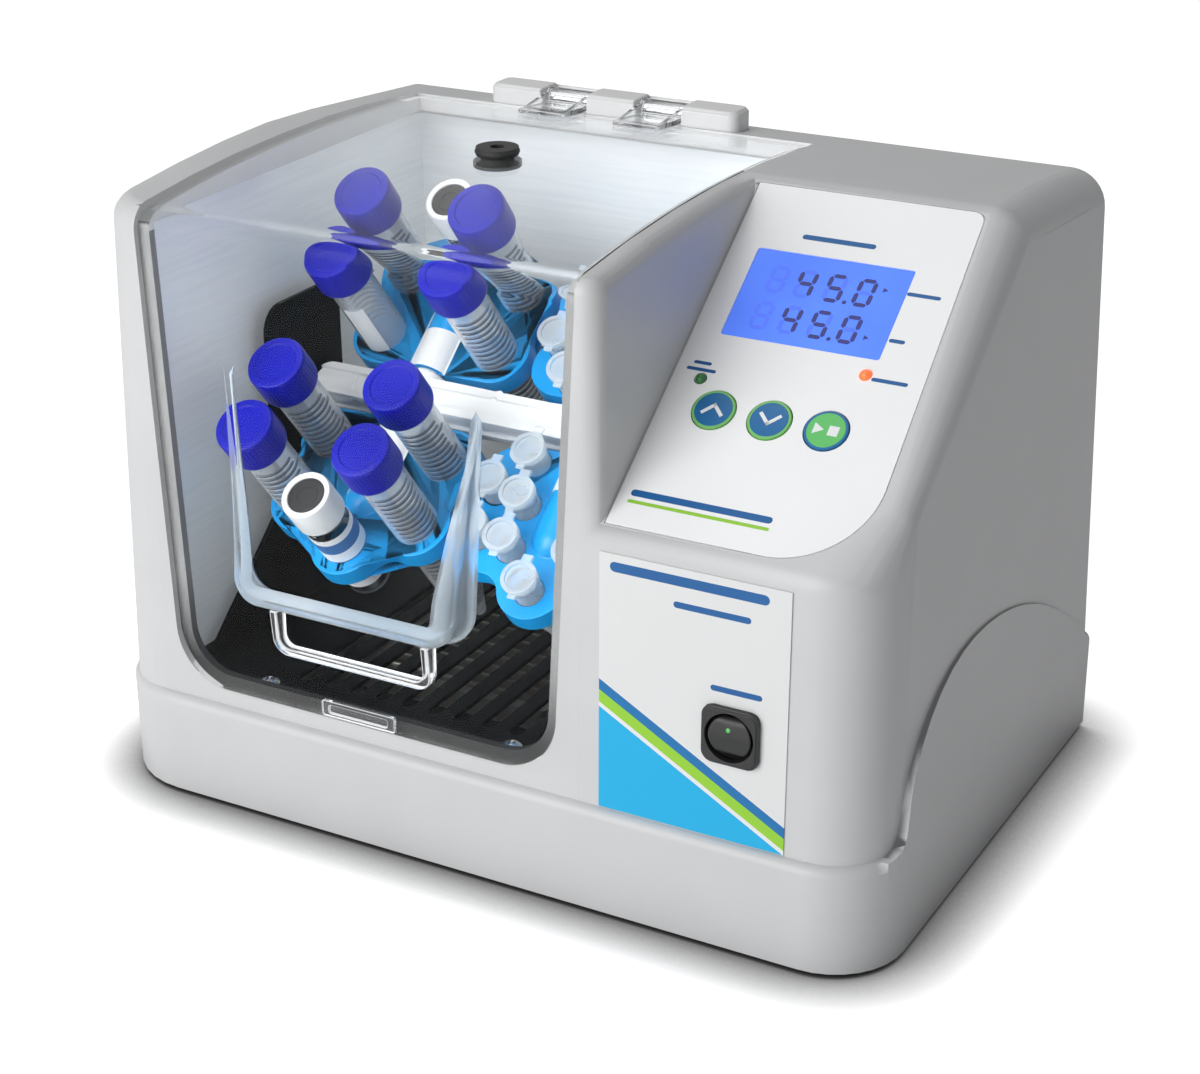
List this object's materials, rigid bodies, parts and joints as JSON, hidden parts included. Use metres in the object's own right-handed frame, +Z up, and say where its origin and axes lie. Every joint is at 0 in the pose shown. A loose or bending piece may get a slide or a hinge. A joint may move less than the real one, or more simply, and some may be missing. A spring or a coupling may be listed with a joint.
{
  "type": "incubated rotator",
  "caption": "Benchtop incubated rotator with a grey moulded housing, hinged clear lid, steel chamber, turning carrier of blue tube holders and a sloped control panel.",
  "frame": {"origin": "on the table under the middle of the bounding box", "axes": "+X to the control side, as seen from the front; +Y to the rear; +Z up"},
  "size_m": [0.307, 0.2126, 0.226],
  "materials": {
    "shell": "fine textured, light grey",
    "white_plastic": "satin white",
    "sheet_steel": "zinc grey",
    "stainless": "brushed",
    "bright_steel": "bright",
    "rubber": "matt",
    "black_enamel": "gloss black",
    "black_plastic": "matt black",
    "heater": "oxidised fins",
    "bronze": "plain turned",
    "overlay": "printed film",
    "display": "backlit blue",
    "lights": "tinted lens",
    "board": "coated circuit board",
    "blue_key": "printed film",
    "green_key": "printed film",
    "clear": "clear plastic",
    "holder_blue": "satin moulded",
    "cap_blue": "satin moulded"
  },
  "bodies": {
    "cabinet": {"housing": "shell", "base_plate": "sheet_steel", "feet": "rubber", "base_screws": "bright_steel", "chamber_liner": "stainless", "floor_grille": "black_enamel", "grille_screws": "bright_steel", "heater_element": "heater", "fan_frame": "black_plastic", "idler_bracket": "black_enamel", "idler_pin": "bright_steel", "drive_bush": "bronze", "gear_motor": "sheet_steel", "motor_bracket": "sheet_steel", "hinge_block": "white_plastic", "hinge_pins": "bright_steel", "panel_overlay": "overlay", "lcd_window": "display", "lcd_module": "black_plastic", "indicator_lights": "lights", "control_board": "board", "board_standoffs": "bronze", "key_switches": "black_plastic", "front_label": "overlay", "switch_bezel": "black_plastic", "power_supply": "board", "power_inlet": "black_plastic", "temperature_probe": "stainless"},
    "lid": {"lid_panel": "clear", "lid_pull": "clear", "lid_tab": "clear", "hinge_knuckles": "clear", "port_grommet": "rubber"},
    "rotor": {"rotor_beam": "white_plastic", "drive_shaft": "bright_steel", "tube_holder_front": "holder_blue", "tube_holder_rear": "holder_blue", "micro_holder_front": "holder_blue", "micro_holder_rear": "holder_blue", "conical_tubes": "clear", "tube_caps": "cap_blue", "vials": "clear", "vial_caps": "white_plastic", "vial_septa": "rubber", "micro_tubes": "clear", "micro_caps": "clear"},
    "rocker": {"rocker": "black_plastic"},
    "up_key": {"up_key": "blue_key"},
    "down_key": {"down_key": "blue_key"},
    "start_key": {"start_key": "green_key"},
    "fan": {"fan_impeller": "black_plastic"}
  },
  "joints": [
    {"name": "lid_hinge", "type": "hinge", "parent": "cabinet", "child": "lid", "pos_m": [-0.04, 0.09328, 0.22107], "axis": [-1, 0, 0], "range_deg": [0, 100]},
    {"name": "rotor_spin", "type": "hinge", "parent": "cabinet", "child": "rotor", "pos_m": [-0.04, -0.00372, 0.1295], "axis": [1, 0, 0], "continuous": true},
    {"name": "rocker_tilt", "type": "hinge", "parent": "cabinet", "child": "rocker", "pos_m": [0.1012, -0.09043, 0.07794], "axis": [1, 0, 0], "range_deg": [-8, 8]},
    {"name": "up_key_press", "type": "slide", "parent": "cabinet", "child": "up_key", "axis": [0, 0.6018, -0.7986], "range_m": [0, 0.0005], "stiffness_N_per_m": 300},
    {"name": "down_key_press", "type": "slide", "parent": "cabinet", "child": "down_key", "axis": [0, 0.6018, -0.7986], "range_m": [0, 0.0005], "stiffness_N_per_m": 300},
    {"name": "start_key_press", "type": "slide", "parent": "cabinet", "child": "start_key", "axis": [0, 0.6018, -0.7986], "range_m": [0, 0.0005], "stiffness_N_per_m": 300},
    {"name": "fan_spin", "type": "hinge", "parent": "cabinet", "child": "fan", "pos_m": [-0.04, 0.00228, 0.018], "axis": [0, 0, 1], "continuous": true}
  ]
}
